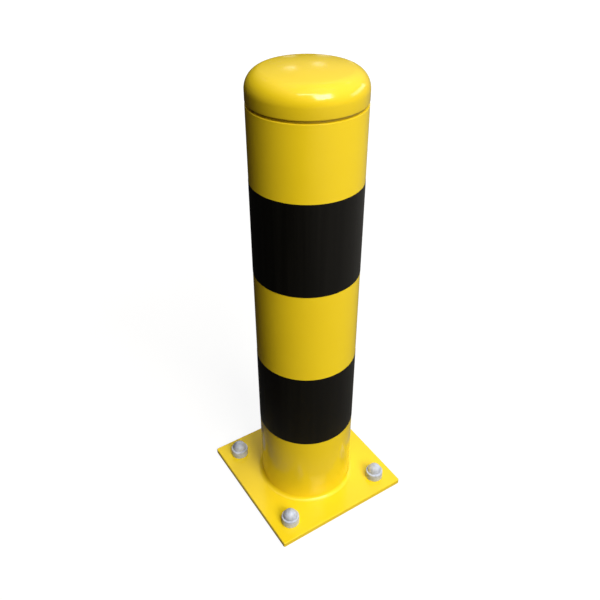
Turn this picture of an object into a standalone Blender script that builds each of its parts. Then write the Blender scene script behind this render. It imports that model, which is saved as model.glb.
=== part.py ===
"""Bolt-down crash protection bollard, modelled in metres with +Z up.

A round steel post stands on a square base plate. A pressed dished cap is welded to its top
and a fillet weld joins its foot to the plate. Two bands of black film wrap the post, and four
anchors hold the plate down, each with a washer, a hexagon nut and a plastic cap over the nut.
The origin is the centre of the plate's underside.
"""

import math

import bmesh
import bpy
from mathutils import Matrix

GAP = 0.0003                # clearance between pieces that touch on the real bollard

# Base plate
PLATE_SIDE = 0.300
PLATE_THICKNESS = 0.012
PLATE_CORNER_RADIUS = 0.003
PLATE_EDGE_RADIUS = 0.0014
HOLE_RADIUS = 0.009
ANCHOR_OFFSET = 0.110       # from the centre to each anchor, along X and along Y

# Post
POST_RADIUS = 0.09685       # a 193.7 mm tube
POST_WALL = 0.005
POST_TOP = 0.8462
POST_SIDES = 64
EDGE_CHAMFER = 0.001        # on the two rims beside the top weld

# Dished cap
DOME_FOOT = 0.8508
KNUCKLE_FOOT = 0.8685       # where the straight rim turns into the knuckle
KNUCKLE_RADIUS = 0.031
CROWN_RADIUS = 0.450

# Welds
FOOT_WELD_LEG = 0.008
FOOT_WELD_TOE = 0.0006
TOP_WELD_RECESS = 0.002     # depth of the weld below the post's surface
TOP_WELD_WIDTH = 0.0027     # in the direction of the radius

# Bands of black film
BAND_GAP = 0.0002
BAND_THICKNESS = 0.0003
BAND_HEIGHTS = {
    "lower_black_band": (0.1842, 0.3566),
    "upper_black_band": (0.5444, 0.7195),
}

# M16 anchors
STUD_RADIUS = 0.008
STUD_LENGTH = 0.0345
STUD_CHAMFER = 0.0012
WASHER_INNER_RADIUS = 0.0085
WASHER_OUTER_RADIUS = 0.015
WASHER_THICKNESS = 0.003
NUT_ACROSS_FLATS = 0.024
NUT_HEIGHT = 0.013
NUT_CHAMFER_ANGLE = math.radians(30)
FASTENER_SIDES = 24

# Plastic nut caps
SKIRT_RADIUS = 0.0184
SKIRT_HEIGHT = 0.0168
SKIRT_EDGE = 0.0008
CAP_DOME_RADIUS = 0.01425
CAP_DOME_CENTRE = 0.019     # above the cap's lower edge
CAP_WALL = 0.0012
RIB_WIDTH = 0.0018
RIB_FOOT = 0.0040           # the ribs start above the washer
RIB_COUNT = 6

# Colours (linear) and finish: colour, roughness, metallic
FINISHES = {
    "yellow_powder_coat": ((0.89, 0.60, 0.012), 0.28, 0.0),
    "black_film": ((0.007, 0.006, 0.005), 0.42, 0.0),
    "zinc_plate": ((0.52, 0.53, 0.55), 0.38, 1.0),
    "grey_plastic": ((0.55, 0.59, 0.66), 0.45, 0.0),
}

PLATE_TOP = PLATE_THICKNESS
SOFT_EDGE_ANGLE = math.radians(35)
MERGE_DISTANCE = 0.00001


def clear_scene():
    for obj in list(bpy.data.objects):
        bpy.data.objects.remove(obj)


def material(finish, name):
    """A Principled material for one sub-part, from the finish's colour, roughness and metallic value."""
    colour, roughness, metallic = FINISHES[finish]
    made = bpy.data.materials.new(name)
    made.use_nodes = True
    made.diffuse_color = (*colour, 1.0)
    shader = made.node_tree.nodes["Principled BSDF"]
    shader.inputs["Base Color"].default_value = (*colour, 1.0)
    shader.inputs["Roughness"].default_value = roughness
    shader.inputs["Metallic"].default_value = metallic
    return made


def add_object(name, mesh, location=(0, 0, 0)):
    obj = bpy.data.objects.new(name, mesh)
    obj.location = location
    bpy.context.scene.collection.objects.link(obj)
    return obj


def finish_object(obj, finish):
    """Gives an object its own material and shades its round faces smooth."""
    obj.data.materials.clear()
    obj.data.materials.append(material(finish, obj.name))
    obj.data.shade_smooth()
    obj.data.set_sharp_from_angle(angle=SOFT_EDGE_ANGLE)
    return obj


def mesh_from(bm, name):
    bmesh.ops.remove_doubles(bm, verts=bm.verts, dist=MERGE_DISTANCE)
    bmesh.ops.dissolve_degenerate(bm, edges=bm.edges, dist=MERGE_DISTANCE)
    bmesh.ops.recalc_face_normals(bm, faces=bm.faces)
    mesh = bpy.data.meshes.new(name)
    bm.to_mesh(mesh)
    bm.free()
    return mesh


def turned(name, outline, sides, closed=True):
    """A mesh turned about Z from (radius, height) points. An open outline starts and ends on the axis."""
    bm = bmesh.new()
    points = [bm.verts.new((radius, 0, height)) for radius, height in outline]
    pairs = list(zip(points, points[1:]))
    if closed:
        pairs.append((points[-1], points[0]))
    edges = [bm.edges.new(pair) for pair in pairs]
    bmesh.ops.spin(
        bm,
        geom=points + edges,
        axis=(0, 0, 1),
        cent=(0, 0, 0),
        angle=math.tau,
        steps=sides,
        use_merge=True,
    )
    return mesh_from(bm, name)


def prism(name, sides, radius, low, high):
    """A closed upright prism on a regular polygon, with a corner at +Y."""
    bm = bmesh.new()
    place = Matrix.Translation((0, 0, (low + high) / 2))
    bmesh.ops.create_cone(
        bm,
        cap_ends=True,
        segments=sides,
        radius1=radius,
        radius2=radius,
        depth=high - low,
        matrix=place,
    )
    return mesh_from(bm, name)


def block(name, low, high, turn=0.0):
    """A closed box between two corners, turned about Z."""
    bm = bmesh.new()
    size = [b - a for a, b in zip(low, high)]
    middle = [(a + b) / 2 for a, b in zip(low, high)]
    place = Matrix.Rotation(turn, 4, "Z") @ Matrix.Translation(middle) @ Matrix.Diagonal((*size, 1))
    bmesh.ops.create_cube(bm, size=1, matrix=place)
    return mesh_from(bm, name)


def combined(name, mesh, operation, tools):
    """A new mesh: the first mesh with each tool mesh cut from it, joined to it or intersected with it."""
    base = add_object(name, mesh)
    helpers = []
    for tool in tools:
        helper = add_object(name + "_tool", tool)
        modifier = base.modifiers.new("tool", "BOOLEAN")
        modifier.operation = operation
        modifier.solver = "EXACT"
        modifier.object = helper
        helpers.append(helper)
    graph = bpy.context.evaluated_depsgraph_get()
    result = bpy.data.meshes.new_from_object(base.evaluated_get(graph))
    result.name = name
    for obj in [base, *helpers]:
        bpy.data.objects.remove(obj)
    return result


def arc(centre, radius, start, end, steps):
    """(radius, height) points along a circular arc, angles counted from the outward radius."""
    angles = [start + (end - start) * i / steps for i in range(steps + 1)]
    return [(centre[0] + radius * math.cos(a), centre[1] + radius * math.sin(a)) for a in angles]


def anchor_places():
    """The four anchors, going round from the corner at +X, -Y."""
    signs = [(1, -1), (1, 1), (-1, 1), (-1, -1)]
    return [(x * ANCHOR_OFFSET, y * ANCHOR_OFFSET) for x, y in signs]


def base_plate():
    bm = bmesh.new()
    size = (PLATE_SIDE, PLATE_SIDE, PLATE_THICKNESS, 1)
    place = Matrix.Translation((0, 0, PLATE_THICKNESS / 2)) @ Matrix.Diagonal(size)
    bmesh.ops.create_cube(bm, size=1, matrix=place)
    upright = [e for e in bm.edges if abs(e.verts[0].co.z - e.verts[1].co.z) > PLATE_THICKNESS / 2]
    bmesh.ops.bevel(
        bm, geom=upright, offset=PLATE_CORNER_RADIUS, segments=3, profile=0.5, affect="EDGES"
    )
    above = PLATE_THICKNESS * 0.99
    rim = [e for e in bm.edges if all(v.co.z > above for v in e.verts)]
    bmesh.ops.bevel(
        bm, geom=rim, offset=PLATE_EDGE_RADIUS, segments=2, profile=0.5, affect="EDGES"
    )
    mesh = mesh_from(bm, "base_plate")
    drills = []
    for x, y in anchor_places():
        drill = prism("drill", FASTENER_SIDES, HOLE_RADIUS, -0.01, PLATE_THICKNESS + 0.01)
        drill.transform(Matrix.Translation((x, y, 0)))
        drills.append(drill)
    return add_object("base_plate", combined("base_plate", mesh, "DIFFERENCE", drills))


def post_tube():
    outline = [
        (POST_RADIUS - POST_WALL, PLATE_TOP + GAP),
        (POST_RADIUS, PLATE_TOP + GAP),
        (POST_RADIUS, POST_TOP - EDGE_CHAMFER),
        (POST_RADIUS - EDGE_CHAMFER, POST_TOP),
        (POST_RADIUS - POST_WALL, POST_TOP),
    ]
    return add_object("post_tube", turned("post_tube", outline, POST_SIDES))


def dome_surface(inset, knuckle_steps, crown_steps):
    """Points up the cap's knuckle and crown to the axis, moved inwards by the inset."""
    knuckle = (POST_RADIUS - KNUCKLE_RADIUS, KNUCKLE_FOOT)
    reach = CROWN_RADIUS - KNUCKLE_RADIUS
    crown = (0.0, KNUCKLE_FOOT - math.sqrt(reach**2 - knuckle[0] ** 2))
    tangent = math.atan2(knuckle[1] - crown[1], knuckle[0])
    side = arc(knuckle, KNUCKLE_RADIUS - inset, 0, tangent, knuckle_steps)
    top = arc(crown, CROWN_RADIUS - inset, tangent, math.pi / 2, crown_steps)
    return side + top[1:]


def dome_cap():
    outside = dome_surface(0, 7, 3)
    inside = dome_surface(POST_WALL, 6, 3)
    rim = [
        (POST_RADIUS - POST_WALL, DOME_FOOT),
        (POST_RADIUS - EDGE_CHAMFER, DOME_FOOT),
        (POST_RADIUS, DOME_FOOT + EDGE_CHAMFER),
    ]
    outline = inside[::-1] + rim + outside
    return add_object("dome_cap", turned("dome_cap", outline, POST_SIDES, closed=False))


def base_weld():
    """The fillet weld between the post's foot and the plate, slightly hollow between its two toes."""
    corner = (POST_RADIUS + GAP, PLATE_TOP + GAP)
    leg = FOOT_WELD_LEG - GAP
    middle = leg * 0.42
    outline = [
        corner,
        (corner[0] + leg, corner[1]),
        (corner[0] + leg - FOOT_WELD_TOE / 2, corner[1] + FOOT_WELD_TOE),
        (corner[0] + middle, corner[1] + middle),
        (corner[0] + FOOT_WELD_TOE, corner[1] + leg - FOOT_WELD_TOE / 2),
        (corner[0], corner[1] + leg),
    ]
    return add_object("base_weld", turned("base_weld", outline, POST_SIDES))


def dome_weld():
    """The recessed weld that fills the seam between the post and its dished cap."""
    outer = POST_RADIUS - TOP_WELD_RECESS
    low = POST_TOP + GAP
    high = DOME_FOOT - GAP
    crest = (high - low) * 0.2
    outline = [
        (outer - TOP_WELD_WIDTH, low),
        (outer - crest, low),
        (outer, low + crest),
        (outer, high - crest),
        (outer - crest, high),
        (outer - TOP_WELD_WIDTH, high),
    ]
    return add_object("dome_weld", turned("dome_weld", outline, POST_SIDES))


def black_band(name, low, high):
    inner = POST_RADIUS + BAND_GAP
    outer = inner + BAND_THICKNESS
    outline = [(inner, low), (outer, low), (outer, high), (inner, high)]
    return add_object(name, turned(name, outline, POST_SIDES))


def stud_mesh():
    """The anchor's threaded end, which stands in the plate's hole and ends above the nut."""
    top = STUD_LENGTH
    outline = [
        (0, GAP),
        (STUD_RADIUS, GAP),
        (STUD_RADIUS, top - STUD_CHAMFER),
        (STUD_RADIUS - STUD_CHAMFER, top),
        (0, top),
    ]
    return turned("anchor_stud", outline, FASTENER_SIDES, closed=False)


def washer_mesh():
    outline = [
        (WASHER_INNER_RADIUS, 0),
        (WASHER_OUTER_RADIUS, 0),
        (WASHER_OUTER_RADIUS, WASHER_THICKNESS),
        (WASHER_INNER_RADIUS, WASHER_THICKNESS),
    ]
    return turned("washer", outline, FASTENER_SIDES)


def nut_mesh():
    """A hexagon nut whose corners are chamfered at both ends."""
    corner = NUT_ACROSS_FLATS / 2 / math.cos(math.pi / 6)
    face = NUT_ACROSS_FLATS / 2 * 0.95
    drop = (corner + GAP - face) * math.tan(NUT_CHAMFER_ANGLE)
    hexagon = prism("hexagon", 6, corner, 0, NUT_HEIGHT)
    bore = STUD_RADIUS + GAP
    chamfered = [
        (bore, -GAP),
        (face, -GAP),
        (face, 0),
        (corner + GAP, drop),
        (corner + GAP, NUT_HEIGHT - drop),
        (face, NUT_HEIGHT),
        (face, NUT_HEIGHT + GAP),
        (bore, NUT_HEIGHT + GAP),
    ]
    envelope = turned("envelope", chamfered, FASTENER_SIDES)
    return combined("hex_nut", hexagon, "INTERSECT", [envelope])


def nut_cap_mesh():
    """A moulded cap: a round skirt with a flat ledge, a smaller dome on it, and ribs that grip the nut."""
    inner_skirt = SKIRT_RADIUS - CAP_WALL
    inner_dome = CAP_DOME_RADIUS - CAP_WALL
    ceiling = SKIRT_HEIGHT - CAP_WALL
    centre = (0, CAP_DOME_CENTRE)
    outline = arc(centre, inner_dome, math.pi / 2, 0, 4)
    outline += [
        (inner_dome, ceiling),
        (inner_skirt, ceiling),
        (inner_skirt, 0),
        (SKIRT_RADIUS, 0),
        (SKIRT_RADIUS, SKIRT_HEIGHT - SKIRT_EDGE),
        (SKIRT_RADIUS - SKIRT_EDGE, SKIRT_HEIGHT),
        (CAP_DOME_RADIUS, SKIRT_HEIGHT),
    ]
    outline += arc(centre, CAP_DOME_RADIUS, 0, math.pi / 2, 5)
    shell = turned("shell", outline, FASTENER_SIDES, closed=False)
    grip = NUT_ACROSS_FLATS / 2 + GAP
    overlap = CAP_WALL / 2
    ribs = []
    for i in range(RIB_COUNT):
        low = (grip, -RIB_WIDTH / 2, RIB_FOOT)
        high = (inner_skirt + overlap, RIB_WIDTH / 2, ceiling + overlap)
        ribs.append(block("rib", low, high, turn=math.tau * i / RIB_COUNT))
    return combined("nut_cap", shell, "UNION", ribs)


def add_copies(name, mesh, height):
    """One object at each anchor, all sharing one shape, numbered from 1."""
    copies = []
    for number, (x, y) in enumerate(anchor_places(), start=1):
        copies.append(add_object(f"{name}_{number}", mesh.copy(), (x, y, height)))
    return copies


def build():
    clear_scene()
    yellow = [base_plate(), post_tube(), dome_cap(), base_weld(), dome_weld()]
    black = [black_band(name, low, high) for name, (low, high) in BAND_HEIGHTS.items()]
    washer_foot = PLATE_TOP + GAP
    nut_foot = washer_foot + WASHER_THICKNESS + GAP
    zinc = add_copies("anchor_stud", stud_mesh(), 0)
    zinc += add_copies("washer", washer_mesh(), washer_foot)
    zinc += add_copies("hex_nut", nut_mesh(), nut_foot)
    grey = add_copies("nut_cap", nut_cap_mesh(), PLATE_TOP + GAP)
    groups = {
        "yellow_powder_coat": yellow,
        "black_film": black,
        "zinc_plate": zinc,
        "grey_plastic": grey,
    }
    for finish, objects in groups.items():
        for obj in objects:
            finish_object(obj, finish)


build()
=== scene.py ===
"""Looks of a bolt-down steel bollard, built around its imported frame, in metres with +Z up."""

import math

import bmesh
import bpy
import numpy as np
from mathutils import Matrix, Vector


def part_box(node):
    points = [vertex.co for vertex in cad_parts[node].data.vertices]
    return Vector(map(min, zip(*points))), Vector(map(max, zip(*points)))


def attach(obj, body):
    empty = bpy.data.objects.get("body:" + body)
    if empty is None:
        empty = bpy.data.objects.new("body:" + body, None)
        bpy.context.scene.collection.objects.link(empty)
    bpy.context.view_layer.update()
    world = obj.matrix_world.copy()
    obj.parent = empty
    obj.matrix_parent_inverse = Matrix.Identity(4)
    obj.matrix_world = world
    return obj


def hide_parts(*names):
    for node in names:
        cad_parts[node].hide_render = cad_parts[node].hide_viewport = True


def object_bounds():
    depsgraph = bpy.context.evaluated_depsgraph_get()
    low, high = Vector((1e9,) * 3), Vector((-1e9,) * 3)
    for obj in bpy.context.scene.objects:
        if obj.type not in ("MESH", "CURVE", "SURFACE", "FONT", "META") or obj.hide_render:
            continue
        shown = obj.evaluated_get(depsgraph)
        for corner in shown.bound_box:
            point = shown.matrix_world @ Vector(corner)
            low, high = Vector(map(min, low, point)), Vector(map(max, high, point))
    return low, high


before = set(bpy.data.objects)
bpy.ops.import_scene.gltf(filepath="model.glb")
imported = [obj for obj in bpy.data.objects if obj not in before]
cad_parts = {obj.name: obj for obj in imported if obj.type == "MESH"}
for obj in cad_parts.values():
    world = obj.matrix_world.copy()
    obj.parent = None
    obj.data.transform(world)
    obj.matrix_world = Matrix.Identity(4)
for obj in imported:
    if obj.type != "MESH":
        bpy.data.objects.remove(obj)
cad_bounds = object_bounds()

# Camera, round the bollard's axis
VIEW_AZIMUTH = math.radians(57.285)
VIEW_ELEVATION = math.radians(35.712)
VIEW_ROLL = math.radians(-0.163)
VIEW_DISTANCE = 1.2338
AIM_HEIGHT = 0.4709
AIM_SIDE = -0.0119
LENS_MM = 39.56
SENSOR_MM = 36.0

# Measures that a node's box doesn't give
KNUCKLE_FOOT = 0.8685
KNUCKLE_RADIUS = 0.031
WALL = 0.005
PLATE_CORNER_RADIUS = 0.003
PLATE_EDGE_RADIUS = 0.0014
HOLE_RADIUS = 0.009
THREAD_PITCH = 0.002
THREAD_DEPTH = 0.0012
NUT_BORE_RADIUS = 0.0083
CAP_SKIRT_HEIGHT = 0.0168
CAP_DOME_RADIUS = 0.01425
CAP_DOME_CENTRE = 0.019
CAP_WALL = 0.0012
CAP_RIB_WIDTH = 0.0018
CAP_RIB_FOOT = 0.004
CAP_RIBS = 6

# Places read from the frame
plate_low, plate_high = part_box("base_plate")
post_low, post_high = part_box("post_tube")
dome_low, dome_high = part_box("dome_cap")
foot_low, foot_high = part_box("base_weld")
seam_low, seam_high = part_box("dome_weld")
POST_RADIUS = post_high.x
ANCHORS = (1, 2, 3, 4)

TURN_SIDES = 256
SOFT_EDGE = math.radians(40)


# ---------------------------------------------------------------- mesh helpers

def add_mesh(name, vertices, faces):
    mesh = bpy.data.meshes.new(name)
    mesh.from_pydata([tuple(v) for v in vertices], [], faces)
    mesh.validate()
    obj = bpy.data.objects.new(name, mesh)
    bpy.context.scene.collection.objects.link(obj)
    return obj


def smooth(obj, angle=SOFT_EDGE):
    obj.data.shade_smooth()
    obj.data.set_sharp_from_angle(angle=angle)
    return obj


def arc(centre, radius, start, end, steps):
    """(radius, height) points on a circular arc, angles counted from the outward radius."""
    angles = np.linspace(start, end, steps + 1)
    return [(centre[0] + radius * math.cos(a), centre[1] + radius * math.sin(a)) for a in angles]


def turned(name, outline, sides=TURN_SIDES, centre=(0.0, 0.0), shape=None):
    """A closed body turned about an upright axis. Points run up the outside; a radius of 0 is a pole.

    shape(angle, radius, height) may move each point, for ripples and flats.
    """
    vertices = []
    rings = []
    for radius, height in outline:
        if radius == 0:
            rings.append([len(vertices)] * sides)
            vertices.append((centre[0], centre[1], height))
            continue
        ring = []
        for i in range(sides):
            angle = math.tau * i / sides
            r, h = shape(angle, radius, height) if shape else (radius, height)
            ring.append(len(vertices))
            vertices.append((centre[0] + r * math.cos(angle), centre[1] + r * math.sin(angle), h))
        rings.append(ring)
    faces = []
    closed = outline[0][0] != 0 or outline[-1][0] != 0
    count = len(rings)
    for k in range(count if closed else count - 1):
        low, high = rings[k], rings[(k + 1) % count]
        for i in range(sides):
            j = (i + 1) % sides
            face = list(dict.fromkeys((low[i], low[j], high[j], high[i])))
            if len(face) > 2:
                faces.append(face)
    return smooth(add_mesh(name, vertices, faces))


def apply_boolean(obj, tool, operation):
    modifier = obj.modifiers.new("tool", "BOOLEAN")
    modifier.operation = operation
    modifier.solver = "EXACT"
    modifier.object = tool
    graph = bpy.context.evaluated_depsgraph_get()
    mesh = bpy.data.meshes.new_from_object(obj.evaluated_get(graph))
    obj.modifiers.clear()
    obj.data = mesh
    bpy.data.objects.remove(tool)


def place(obj, body, slot_name, material, *nodes):
    """Gives a finished piece its material, rides it on its body and lets it stand for CAD nodes."""
    obj.data.materials.clear()
    obj.data.materials.append(material)
    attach(obj, body)
    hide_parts(*nodes)
    return obj


# ---------------------------------------------------------------- materials

class Nodes:
    """A short way to write a material's node tree."""

    def __init__(self, name):
        self.material = bpy.data.materials.new(name)
        self.material.use_nodes = True
        self.tree = self.material.node_tree
        self.shader = self.tree.nodes["Principled BSDF"]
        self.coordinates = self.tree.nodes.new("ShaderNodeTexCoord").outputs["Object"]

    def link(self, output, target):
        self.tree.links.new(output, target)

    def set(self, **values):
        for name, value in values.items():
            self.shader.inputs[name.replace("_", " ")].default_value = value

    def stretched(self, scale):
        node = self.tree.nodes.new("ShaderNodeMapping")
        node.inputs["Scale"].default_value = scale
        self.link(self.coordinates, node.inputs["Vector"])
        return node.outputs["Vector"]

    def noise(self, scale, detail=2.0, roughness=0.5, vector=None, distortion=0.0):
        node = self.tree.nodes.new("ShaderNodeTexNoise")
        node.inputs["Scale"].default_value = scale
        node.inputs["Detail"].default_value = detail
        node.inputs["Roughness"].default_value = roughness
        node.inputs["Distortion"].default_value = distortion
        self.link(vector or self.coordinates, node.inputs["Vector"])
        return node.outputs["Fac"]

    def ramp(self, factor, stops):
        """Colours or greys at positions along a factor."""
        node = self.tree.nodes.new("ShaderNodeValToRGB")
        elements = node.color_ramp.elements
        while len(elements) < len(stops):
            elements.new(0.5)
        for element, (position, colour) in zip(elements, stops):
            element.position = position
            element.color = (*colour, 1) if isinstance(colour, tuple) else (colour, colour, colour, 1)
        self.link(factor, node.inputs["Fac"])
        return node.outputs["Color"]

    def value_range(self, factor, low, high, start=0.3, end=0.7):
        node = self.tree.nodes.new("ShaderNodeMapRange")
        node.inputs["From Min"].default_value = start
        node.inputs["From Max"].default_value = end
        node.inputs["To Min"].default_value = low
        node.inputs["To Max"].default_value = high
        self.link(factor, node.inputs["Value"])
        return node.outputs["Result"]

    def mix(self, factor, first, second, blend="MIX"):
        node = self.tree.nodes.new("ShaderNodeMix")
        node.data_type = "RGBA"
        node.blend_type = blend
        for socket, value in (("Factor", factor), ("A", first), ("B", second)):
            inputs = [s for s in node.inputs if s.name == socket and s.enabled]
            target = inputs[0]
            if isinstance(value, bpy.types.NodeSocket):
                self.link(value, target)
            elif isinstance(value, tuple):
                target.default_value = (*value, 1)
            else:
                target.default_value = value
        return [s for s in node.outputs if s.enabled][0]

    def bump(self, height, strength, distance, normal=None):
        node = self.tree.nodes.new("ShaderNodeBump")
        node.inputs["Strength"].default_value = strength
        node.inputs["Distance"].default_value = distance
        self.link(height, node.inputs["Height"])
        if normal is not None:
            self.link(normal, node.inputs["Normal"])
        return node.outputs["Normal"]

    def done(self, colour=None, roughness=None, normal=None):
        for output, name in ((colour, "Base Color"), (roughness, "Roughness"), (normal, "Normal")):
            if output is not None:
                self.link(output, self.shader.inputs[name])
        return self.material


def yellow_powder_coat(name="yellow_powder_coat", shade=1.0):
    """Glossy traffic yellow powder coat: a faint orange peel, slow colour drift and fine dust. A shade
    factor below 1 darkens all its colours as painted shade.
    """
    n = Nodes(name)
    light = (0.835 * shade, 0.625 * shade, 0.014)
    dark = (0.810 * shade, 0.597 * shade, 0.012)
    drift = n.ramp(n.noise(7, 3), [(0.3, dark), (0.7, light)])
    specks = n.value_range(n.noise(900, 1), 0.0, 0.10, 0.68, 0.76)
    colour = n.mix(specks, drift, (0.62 * shade, 0.40 * shade, 0.006))
    gloss = n.value_range(n.noise(22, 4, 0.6), 0.12, 0.19)
    waves = n.bump(n.noise(45, 2), 0.10, 0.0010)
    peel = n.bump(n.noise(420, 2), 0.10, 0.00025, waves)
    n.set(Specular_IOR_Level=0.5)
    return n.done(colour, gloss, peel)


def black_film():
    """Satin black self-adhesive film with faint upright streaks from its laying."""
    n = Nodes("black_film")
    streaks = n.noise(1.0, 3, 0.6, n.stretched((160, 160, 3)))
    colour = n.ramp(streaks, [(0.35, (0.0022, 0.0020, 0.0016)), (0.7, (0.0040, 0.0037, 0.0030))])
    gloss = n.value_range(streaks, 0.34, 0.44)
    grain = n.bump(n.noise(1500, 2), 0.15, 0.00008)
    n.set(Specular_IOR_Level=0.24)
    return n.done(colour, gloss, grain)


def grey_plastic():
    """Moulded light grey plastic with a fine matt texture and a little soiling."""
    n = Nodes("grey_plastic")
    tone = n.ramp(n.noise(90, 4, 0.6), [(0.38, (0.38, 0.43, 0.55)), (0.62, (0.54, 0.60, 0.76))])
    soil = n.value_range(n.noise(260, 3, 0.7), 0.0, 0.45, 0.5, 0.75)
    colour = n.mix(soil, tone, (0.34, 0.33, 0.30))
    grain = n.bump(n.noise(2600, 2), 0.25, 0.00008)
    gloss = n.value_range(n.noise(300, 3), 0.38, 0.52)
    return n.done(colour, gloss, grain)


def zinc_plate():
    """Bright zinc plating with a faint passivation tint and handling marks."""
    n = Nodes("zinc_plate")
    tints = [(0.3, (0.50, 0.53, 0.60)), (0.5, (0.62, 0.63, 0.64)), (0.72, (0.62, 0.58, 0.48))]
    tint = n.ramp(n.noise(120, 3), tints)
    gloss = n.value_range(n.noise(350, 4, 0.65), 0.24, 0.42)
    marks = n.bump(n.noise(1.0, 3, 0.6, n.stretched((300, 1800, 1800))), 0.12, 0.0001)
    n.set(Metallic=1.0)
    return n.done(tint, gloss, marks)


YELLOW = yellow_powder_coat()
# Painted shade: the coat darkened to 0.45 for the weld deep in the seam groove, where shade falls.
SEAM_YELLOW_PAINTED_SHADE = yellow_powder_coat("yellow_powder_coat_painted_seam_shade", 0.45)
BLACK = black_film()
GREY = grey_plastic()
ZINC = zinc_plate()


# ---------------------------------------------------------------- steel pieces

def base_plate():
    """The plate with soft upper and lower edges, rounded corners and its four drilled holes."""
    size = plate_high - plate_low
    bm = bmesh.new()
    matrix = Matrix.Translation((plate_low + plate_high) / 2) @ Matrix.Diagonal((*size, 1))
    bmesh.ops.create_cube(bm, size=1, matrix=matrix)
    upright = [e for e in bm.edges if abs(e.verts[0].co.z - e.verts[1].co.z) > size.z / 2]
    bmesh.ops.bevel(bm, geom=upright, offset=PLATE_CORNER_RADIUS, segments=8, profile=0.5, affect="EDGES")
    rims = [e for e in bm.edges if abs(e.verts[0].co.z - e.verts[1].co.z) < size.z / 2]
    bmesh.ops.bevel(bm, geom=rims, offset=PLATE_EDGE_RADIUS, segments=5, profile=0.5, affect="EDGES")
    mesh = bpy.data.meshes.new("plate_skin")
    bm.to_mesh(mesh)
    bm.free()
    obj = bpy.data.objects.new("plate_skin", mesh)
    bpy.context.scene.collection.objects.link(obj)
    for number in ANCHORS:
        low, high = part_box(f"anchor_stud_{number}")
        middle = (low + high) / 2
        drill = turned(
            "drill",
            [
                (0, low.z - HOLE_RADIUS),
                (HOLE_RADIUS, low.z - HOLE_RADIUS),
                (HOLE_RADIUS, high.z),
                (0, high.z),
            ],
            64,
            (middle.x, middle.y),
        )
        apply_boolean(obj, drill, "DIFFERENCE")
    smooth(obj)
    even = obj.modifiers.new("even_shading", "WEIGHTED_NORMAL")
    even.keep_sharp = True
    return place(obj, "post", "yellow_powder_coat", YELLOW, "base_plate")


def post_tube():
    inner = POST_RADIUS - WALL
    lip = 0.0005
    outline = [(inner, post_low.z), (POST_RADIUS, post_low.z)]
    outline += arc((POST_RADIUS - lip, post_high.z - lip), lip, 0, math.pi / 2, 5)
    outline.append((inner, post_high.z))
    return place(turned("post_skin", outline), "post", "yellow_powder_coat", YELLOW, "post_tube")


def dome_profile(inset, knuckle_steps, crown_steps):
    """The cap's knuckle arc and the crown arc that meets it and ends at the top of the frame's box."""
    flat = POST_RADIUS - KNUCKLE_RADIUS
    rise = dome_high.z - KNUCKLE_FOOT
    crown_radius = (flat**2 + rise**2 - KNUCKLE_RADIUS**2) / (2 * (rise - KNUCKLE_RADIUS))
    crown_height = dome_high.z - crown_radius
    tangent = math.atan2(KNUCKLE_FOOT - crown_height, flat)
    side = arc((flat, KNUCKLE_FOOT), KNUCKLE_RADIUS - inset, 0, tangent, knuckle_steps)
    top = arc((0, crown_height), crown_radius - inset, tangent, math.pi / 2, crown_steps)
    return side + top[1:-1] + [(0, top[-1][1])]


def dome_cap():
    """The dished end, with a rounded lower rim above the seam."""
    lip = 0.0022
    rim = arc((POST_RADIUS - lip, dome_low.z + lip), lip, -math.pi / 2, 0, 5)
    inside = dome_profile(WALL, 20, 12)[::-1]
    outline = inside + [(POST_RADIUS - WALL, dome_low.z)] + rim + dome_profile(0, 32, 24)
    return place(turned("dome_skin", outline), "post", "yellow_powder_coat", YELLOW, "dome_cap")


def foot_weld():
    """The fillet weld at the post's foot, with the scalloped ripples of a hand-laid bead."""
    ripple = 0.0026
    count = round(math.tau * POST_RADIUS / ripple)
    leg = foot_high.x - foot_low.x
    inner = POST_RADIUS + 0.0003
    width = foot_high.x - inner
    height = foot_high.z - foot_low.z
    bulge = 0.34
    steps = 9

    def shape(angle, radius, level):
        across = (radius - inner) / width
        up = (level - foot_low.z) / height
        body = 4 * across * up if across > 0 and up > 0 else 0
        phase = (angle / math.tau * count - 0.9 * (across - up) ** 2) % 1.0
        crest = 0.00010 * body * (1 - 2 * phase) + 0.00025 * math.sin(angle * 5 + 1) * body
        push = crest * math.sqrt(0.5)
        return radius + push, level + push

    outline = [(inner, foot_low.z)]
    for i in range(steps + 1):
        t = i / steps
        across = 1 - t
        dip = (0.5 - bulge) * 2 * math.sin(math.pi * t) * 0.5
        outline.append((inner + width * max(across - dip, 0), foot_low.z + height * max(t - dip, 0)))
    obj = turned("foot_weld_bead", outline, count * 6, shape=shape)
    return place(obj, "post", "yellow_powder_coat", YELLOW, "base_weld")


def seam_weld():
    """The weld at the bottom of the seam under the dished end, in the coat darkened as painted shade of the
    groove.
    """
    ripple = 0.0030
    outer = seam_high.x - 0.0012
    inner = seam_high.x - 0.0027
    count = round(math.tau * outer / ripple)
    half = (seam_high.z - seam_low.z) / 2
    middle = (seam_high.z + seam_low.z) / 2

    def shape(angle, radius, level):
        if radius == inner:
            return radius, level
        body = 1 - ((level - middle) / half) ** 2
        phase = (angle / math.tau * count + 0.5 * ((level - middle) / half) ** 2) % 1.0
        return radius - 0.00022 * body * phase, level

    outline = [(inner, seam_low.z)]
    for t in np.linspace(-1, 1, 9):
        outline.append((outer - half * 0.4 * t * t, middle + half * t))
    outline.append((inner, seam_high.z))
    obj = turned("seam_weld_bead", outline, count * 5, shape=shape)
    return place(obj, "post", "yellow_powder_coat", SEAM_YELLOW_PAINTED_SHADE, "dome_weld")


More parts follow.
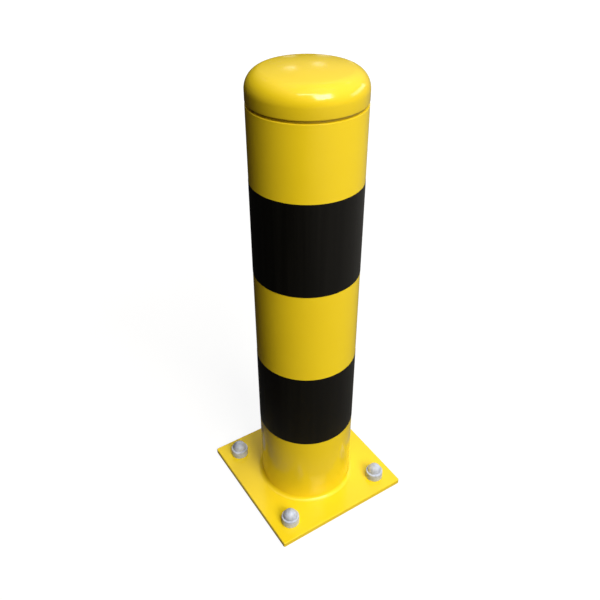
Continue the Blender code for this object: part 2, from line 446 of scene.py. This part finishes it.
def black_band(name, node):
    """A strip of film wound once round the post, its end laid over its start at the back."""
    low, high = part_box(node)
    film = 0.0002
    lift = 0.0001
    overlap = 0.012 / POST_RADIUS
    start = VIEW_AZIMUTH + math.pi / 2
    steps = 360
    vertices = []
    for i in range(steps + 1):
        turn = (math.tau + overlap) * i / steps
        climb = min(max((turn - math.tau + overlap * 0.3) / (overlap * 0.3), 0), 1)
        inner = POST_RADIUS + lift + (film + lift) * climb
        for radius in (inner, inner + film):
            for level in (low.z, high.z):
                angle = start + turn
                vertices.append((radius * math.cos(angle), radius * math.sin(angle), level))
    faces = [(0, 2, 3, 1)]
    for i in range(steps):
        a, b = 4 * i, 4 * (i + 1)
        faces += [(a, a + 1, b + 1, b), (a + 2, b + 2, b + 3, a + 3)]
        faces += [(a, b, b + 2, a + 2), (a + 1, a + 3, b + 3, b + 1)]
    end = 4 * steps
    faces.append((end, end + 1, end + 3, end + 2))
    obj = smooth(add_mesh(name, vertices, faces))
    return place(obj, "post", "black_film", BLACK, node)


# ---------------------------------------------------------------- anchors

def stud(number):
    """The anchor's end with a real 2 mm thread and a chamfered tip."""
    node = f"anchor_stud_{number}"
    low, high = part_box(node)
    crest = (high.x - low.x) / 2
    sides = 48
    per_pitch = 8
    rows = round((high.z - low.z) / THREAD_PITCH * per_pitch)

    def shape(angle, radius, level):
        phase = (level / THREAD_PITCH - angle / math.tau) % 1.0
        flank = min(max((abs(phase - 0.5) * 2 - 0.12) / 0.7, 0), 1)
        tip = crest - THREAD_DEPTH + max(high.z - level, 0)
        foot = crest - THREAD_DEPTH + max(level - low.z, 0)
        return min(crest - THREAD_DEPTH * flank, tip, foot), level

    centre = ((low.x + high.x) / 2, (low.y + high.y) / 2)
    outline = [(0, low.z)] + [(crest, z) for z in np.linspace(low.z, high.z, rows + 1)] + [(0, high.z)]
    obj = turned(f"stud_thread_{number}", outline, sides, centre, shape)
    return place(obj, "post", "zinc_plate", ZINC, node)


def washer(number):
    node = f"washer_{number}"
    low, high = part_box(node)
    outer = (high.x - low.x) / 2
    inner = 0.0085
    edge = 0.0003
    outline = [(inner, low.z)]
    outline += arc((outer - edge, low.z + edge), edge, -math.pi / 2, 0, 3)
    outline += arc((outer - edge, high.z - edge), edge, 0, math.pi / 2, 3)
    outline += [(inner + edge, high.z), (inner, high.z - edge)]
    centre = ((low.x + high.x) / 2, (low.y + high.y) / 2)
    obj = turned(f"washer_skin_{number}", outline, 96, centre)
    return place(obj, "post", "zinc_plate", ZINC, node)


def hex_nut(number):
    """A hexagon nut with turned chamfers that leave the curved edges of a real one."""
    node = f"hex_nut_{number}"
    low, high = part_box(node)
    flat = (high.x - low.x) / 2
    face = flat * 0.95
    slope = math.tan(math.radians(30))
    sink = 0.0007

    def shape(angle, radius, level):
        if radius < flat:
            return radius, level
        side = (angle + math.pi / 6) % (math.pi / 3) - math.pi / 6
        reach = flat / math.cos(side)
        drop = (reach - face) * slope
        return reach, (low.z + drop if level < (low.z + high.z) / 2 else high.z - drop)

    outline = [
        (NUT_BORE_RADIUS, low.z + sink),
        (NUT_BORE_RADIUS + sink, low.z),
        (face, low.z),
        (flat, low.z),
        (flat, high.z),
        (face, high.z),
        (NUT_BORE_RADIUS + sink, high.z),
        (NUT_BORE_RADIUS, high.z - sink),
    ]
    centre = ((low.x + high.x) / 2, (low.y + high.y) / 2)
    obj = turned(f"nut_skin_{number}", outline, 96, centre, shape)
    return place(smooth(obj, math.radians(25)), "post", "zinc_plate", ZINC, node)


def nut_cap(number):
    """The moulded cap: drafted skirt, soft ledge, dome with a gate mark, and ribs that grip the nut."""
    node = f"nut_cap_{number}"
    low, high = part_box(node)
    outer = (high.x - low.x) / 2
    base = low.z
    soft = 0.0009
    fillet = 0.0008
    draft = 0.0003
    ceiling = base + CAP_SKIRT_HEIGHT - CAP_WALL
    inner_skirt = outer - CAP_WALL
    inner_dome = CAP_DOME_RADIUS - CAP_WALL
    dome_centre = (0, base + CAP_DOME_CENTRE)
    ledge = base + CAP_SKIRT_HEIGHT
    outline = arc(dome_centre, inner_dome, math.pi / 2, 0, 12)
    outline[0] = (0, outline[0][1])
    outline += [(inner_dome, ceiling), (inner_skirt - draft, ceiling), (inner_skirt, base)]
    outline += arc((outer - draft, base + draft), draft, -math.pi / 2, 0, 3)
    outline += arc((outer - draft - soft, ledge - soft), soft, 0, math.pi / 2, 5)
    outline += arc((CAP_DOME_RADIUS + fillet, ledge + fillet), fillet, -math.pi / 2, -math.pi, 4)
    outline += arc(dome_centre, CAP_DOME_RADIUS, math.radians(4), math.radians(80), 16)
    gate = CAP_DOME_RADIUS * math.cos(math.radians(80))
    top = high.z
    outline += [(gate * 0.92, top - 0.0001), (gate * 0.5, top)]
    outline += [(gate * 0.42, top - 0.0004), (0, top - 0.0004)]
    centre = ((low.x + high.x) / 2, (low.y + high.y) / 2)
    obj = turned(f"cap_shell_{number}", outline, 96, centre)
    grip = 0.012 + 0.0003
    for i in range(CAP_RIBS):
        bm = bmesh.new()
        rib_depth = inner_skirt + CAP_WALL / 2 - grip
        rib_height = ceiling + CAP_WALL / 2 - base - CAP_RIB_FOOT
        size = (rib_depth, CAP_RIB_WIDTH, rib_height)
        middle = (grip + size[0] / 2, 0, base + CAP_RIB_FOOT + size[2] / 2)
        turn = Matrix.Rotation(math.tau * i / CAP_RIBS, 4, "Z")
        matrix = Matrix.Translation((*centre, 0)) @ turn
        matrix = matrix @ Matrix.Translation(middle) @ Matrix.Diagonal((*size, 1))
        bmesh.ops.create_cube(bm, size=1, matrix=matrix)
        mesh = bpy.data.meshes.new("rib")
        bm.to_mesh(mesh)
        bm.free()
        rib = bpy.data.objects.new("rib", mesh)
        bpy.context.scene.collection.objects.link(rib)
        apply_boolean(obj, rib, "UNION")
    smooth(obj)
    return place(obj, f"cap_{number}", "grey_plastic", GREY, node)


base_plate()
post_tube()
dome_cap()
foot_weld()
seam_weld()
black_band("lower_band_film", "lower_black_band")
black_band("upper_band_film", "upper_black_band")
for anchor in ANCHORS:
    stud(anchor)
    washer(anchor)
    hex_nut(anchor)
    nut_cap(anchor)


# ---------------------------------------------------------------- camera and set

TOWARDS_CAMERA = Vector((math.sin(VIEW_AZIMUTH), -math.cos(VIEW_AZIMUTH), 0))
CAMERA_RIGHT = Vector((math.cos(VIEW_AZIMUTH), math.sin(VIEW_AZIMUTH), 0))
UP = Vector((0, 0, 1))
MIDDLE = Vector((0, 0, (cad_bounds[0][2] + cad_bounds[1][2]) / 2))
SET_RADIUS = 14
WALL_HEIGHT = SET_RADIUS * 1.9
FLOOR_GAP = 0.0005
CLOTH_GAP = 0.0003
LAMP_DISTANCE = 12
CEILING_LAMP_SIZE = 0.4
# Small lamps behind the bollard: side and height in degrees, level
CEILING_LAMPS = (
    (-177, 23, 0.0012),
    (177, 19, 0.0012),
    (-147, 41, 0.0022),
    (-136, 74, 0.0025),
    (161, 54, 0.0025),
    (130, 46, 0.0030),
    (-178, 4, 0.0004),
    (177, 3, 0.0004),
    (171, 8, 0.0005),
)


def add_camera():
    back = TOWARDS_CAMERA * math.cos(VIEW_ELEVATION) + UP * math.sin(VIEW_ELEVATION)
    above = back.cross(CAMERA_RIGHT)
    right = CAMERA_RIGHT * math.cos(VIEW_ROLL) + above * math.sin(VIEW_ROLL)
    above = back.cross(right)
    aim = UP * AIM_HEIGHT + CAMERA_RIGHT * AIM_SIDE
    data = bpy.data.cameras.new("camera")
    data.sensor_width = SENSOR_MM
    data.lens = LENS_MM
    data.clip_start = 0.05
    camera = bpy.data.objects.new("camera", data)
    turn = Matrix((right, above, back)).transposed().to_4x4()
    camera.matrix_world = Matrix.Translation(aim + back * VIEW_DISTANCE) @ turn
    bpy.context.scene.collection.objects.link(camera)
    bpy.context.scene.camera = camera


def from_bollard(side, height):
    """A direction: side is degrees to the camera's right of the camera, height is degrees up."""
    side, height = math.radians(side), math.radians(height)
    level = TOWARDS_CAMERA * math.cos(side) + CAMERA_RIGHT * math.sin(side)
    return level * math.cos(height) + UP * math.sin(height)


def soft_light(name, side, height, distance, width, depth, level, colour, mirrored=True):
    """An area light aimed at the bollard's middle. A white face turned to it renders at this level."""
    data = bpy.data.lights.new(name, "AREA")
    data.shape = "RECTANGLE"
    data.size = width
    data.size_y = depth
    data.energy = level * math.pi**2 * distance**2
    data.color = colour
    light = bpy.data.objects.new(name, data)
    direction = from_bollard(side, height)
    aim = direction.to_track_quat("Z", "Y").to_matrix().to_4x4()
    light.matrix_world = Matrix.Translation(MIDDLE + direction * distance) @ aim
    light.visible_glossy = mirrored
    bpy.context.scene.collection.objects.link(light)


def seen_directly(nodes, links):
    """A factor that is 1 for camera, glossy and transmission rays and 0 for diffuse ones."""
    path = nodes.new("ShaderNodeLightPath")
    total = path.outputs["Is Camera Ray"]
    for name in ("Is Glossy Ray", "Is Transmission Ray"):
        either = nodes.new("ShaderNodeMath")
        either.operation = "MAXIMUM"
        links.new(total, either.inputs[0])
        links.new(path.outputs[name], either.inputs[1])
        total = either.outputs[0]
    return total


def add_world():
    world = bpy.data.worlds.new("studio")
    world.use_nodes = True
    nodes, links = world.node_tree.nodes, world.node_tree.links
    ambient = nodes["Background"]
    ambient.inputs["Color"].default_value = (1, 0.66, 0.28, 1)
    ambient.inputs["Strength"].default_value = 0.065
    backdrop = nodes.new("ShaderNodeBackground")
    backdrop.inputs["Color"].default_value = (1, 1, 1, 1)
    choice = nodes.new("ShaderNodeMixShader")
    links.new(seen_directly(nodes, links), choice.inputs["Fac"])
    links.new(ambient.outputs[0], choice.inputs[1])
    links.new(backdrop.outputs[0], choice.inputs[2])
    links.new(choice.outputs[0], nodes["World Output"].inputs["Surface"])
    bpy.context.scene.world = world


def ramp_node(tree, value, start, end, low, high):
    node = tree.nodes.new("ShaderNodeMapRange")
    for name, number in (("From Min", start), ("From Max", end), ("To Min", low), ("To Max", high)):
        node.inputs[name].default_value = number
    tree.links.new(value, node.inputs["Value"])
    return node.outputs["Result"]


def measured(tree, operation, direction=None):
    """A point's distance from the bollard's foot, or how far it lies along a direction, in metres."""
    point = tree.nodes.new("ShaderNodeTexCoord")
    node = tree.nodes.new("ShaderNodeVectorMath")
    node.operation = operation
    tree.links.new(point.outputs["Object"], node.inputs[0])
    if direction is not None:
        node.inputs[1].default_value = direction
    return node.outputs["Value"]


def add_square(name, z):
    """A level square as wide as the studio wall."""
    reach = SET_RADIUS
    corners = [(-reach, -reach, z), (reach, -reach, z), (reach, reach, z), (-reach, reach, z)]
    return add_mesh(name, corners, [(0, 1, 2, 3)])


def add_floor():
    """A plain white floor that keeps a faint shadow of the bollard."""
    floor = add_square("floor", cad_bounds[0][2] - FLOOR_GAP)
    material = bpy.data.materials.new("pale_floor")
    material.use_nodes = True
    nodes, links = material.node_tree.nodes, material.node_tree.links
    paint = nodes["Principled BSDF"]
    paint.inputs["Base Color"].default_value = (0.8, 0.8, 0.8, 1)
    paint.inputs["Roughness"].default_value = 0.9
    glow = nodes.new("ShaderNodeEmission")
    distance = measured(material.node_tree, "LENGTH")
    links.new(ramp_node(material.node_tree, distance, 0.8, 4.0, 1.1, 1.28), glow.inputs["Strength"])
    shown = nodes.new("ShaderNodeMixShader")
    shown.inputs["Fac"].default_value = 0.2
    links.new(glow.outputs[0], shown.inputs[1])
    links.new(paint.outputs[0], shown.inputs[2])
    choice = nodes.new("ShaderNodeMixShader")
    links.new(seen_directly(nodes, links), choice.inputs["Fac"])
    links.new(paint.outputs[0], choice.inputs[1])
    links.new(shown.outputs[0], choice.inputs[2])
    links.new(choice.outputs[0], nodes["Material Output"].inputs["Surface"])
    floor.data.materials.append(material)


def add_floor_cloth():
    """Dark cloth that the bollard sees for a floor: paler to the camera's right and round the plate."""
    cloth = add_square("floor_cloth", cad_bounds[0][2] - CLOTH_GAP)
    material = bpy.data.materials.new("floor_cloth")
    material.use_nodes = True
    tree = material.node_tree
    weave = tree.nodes["Principled BSDF"]
    weave.inputs["Roughness"].default_value = 1.0
    weave.inputs["Specular IOR Level"].default_value = 0.0
    rightwards = ramp_node(tree, measured(tree, "DOT_PRODUCT", CAMERA_RIGHT), -0.5, 1.3, 0.012, 0.24)
    round_plate = ramp_node(tree, measured(tree, "LENGTH"), 0.19, 0.27, 0.24, 0.0)
    paler = tree.nodes.new("ShaderNodeMath")
    paler.operation = "MAXIMUM"
    tree.links.new(rightwards, paler.inputs[0])
    tree.links.new(round_plate, paler.inputs[1])
    tree.links.new(paler.outputs["Value"], weave.inputs["Base Color"])
    cloth.data.materials.append(material)
    cloth.visible_camera = False
    cloth.visible_shadow = False


def add_studio_wall():
    """The round wall that gloss mirrors: dark low down and to the left, paler up and to the right."""
    sides = 96
    low = cad_bounds[0][2] - CLOTH_GAP
    vertices = []
    for i in range(sides):
        angle = math.tau * i / sides
        for z in (low, WALL_HEIGHT):
            vertices.append((SET_RADIUS * math.cos(angle), SET_RADIUS * math.sin(angle), z))
    faces = [(2 * i, 2 * i + 1, (2 * i + 3) % (2 * sides), (2 * i + 2) % (2 * sides)) for i in range(sides)]
    wall = add_mesh("studio_wall", vertices, faces)
    material = bpy.data.materials.new("studio_wall")
    material.use_nodes = True
    tree = material.node_tree
    tree.nodes.remove(tree.nodes["Principled BSDF"])
    glow = tree.nodes.new("ShaderNodeEmission")
    tilt = (UP + CAMERA_RIGHT * 0.6) / SET_RADIUS
    strength = ramp_node(tree, measured(tree, "DOT_PRODUCT", tilt), 0.06, 1.4, 0.02, 1.0)
    tree.links.new(strength, glow.inputs["Strength"])
    tree.links.new(glow.outputs[0], tree.nodes["Material Output"].inputs["Surface"])
    material.cycles.emission_sampling = "NONE"
    wall.data.materials.append(material)
    wall.visible_camera = False
    wall.visible_diffuse = False
    wall.visible_shadow = False


add_camera()
add_world()
add_floor()
add_floor_cloth()
add_studio_wall()
soft_light("key_softbox", 33, 41, LAMP_DISTANCE, 5.8, 5.2, 0.96, (1, 0.92, 0.78))
soft_light("front_strip", 2, 59, LAMP_DISTANCE, 6.4, 1.3, 0.13, (1, 1, 1))
soft_light("right_softbox", 107, 15, LAMP_DISTANCE, 9.6, 2.2, 0.11, (0.90, 1.03, 1.16))
soft_light("top_softbox", 60, 72, LAMP_DISTANCE, 7.0, 7.0, 0.50, (0.97, 1, 1), mirrored=False)
soft_light("rear_fill", 182, 14, LAMP_DISTANCE, 7.0, 4.0, 0.38, (1, 0.98, 0.94), mirrored=False)
for number, (side, height, level) in enumerate(CEILING_LAMPS, 1):
    size = CEILING_LAMP_SIZE
    soft_light(f"ceiling_lamp_{number}", side, height, LAMP_DISTANCE, size, size, level, (1, 1, 1))

bpy.context.scene.view_settings.view_transform = "Standard"
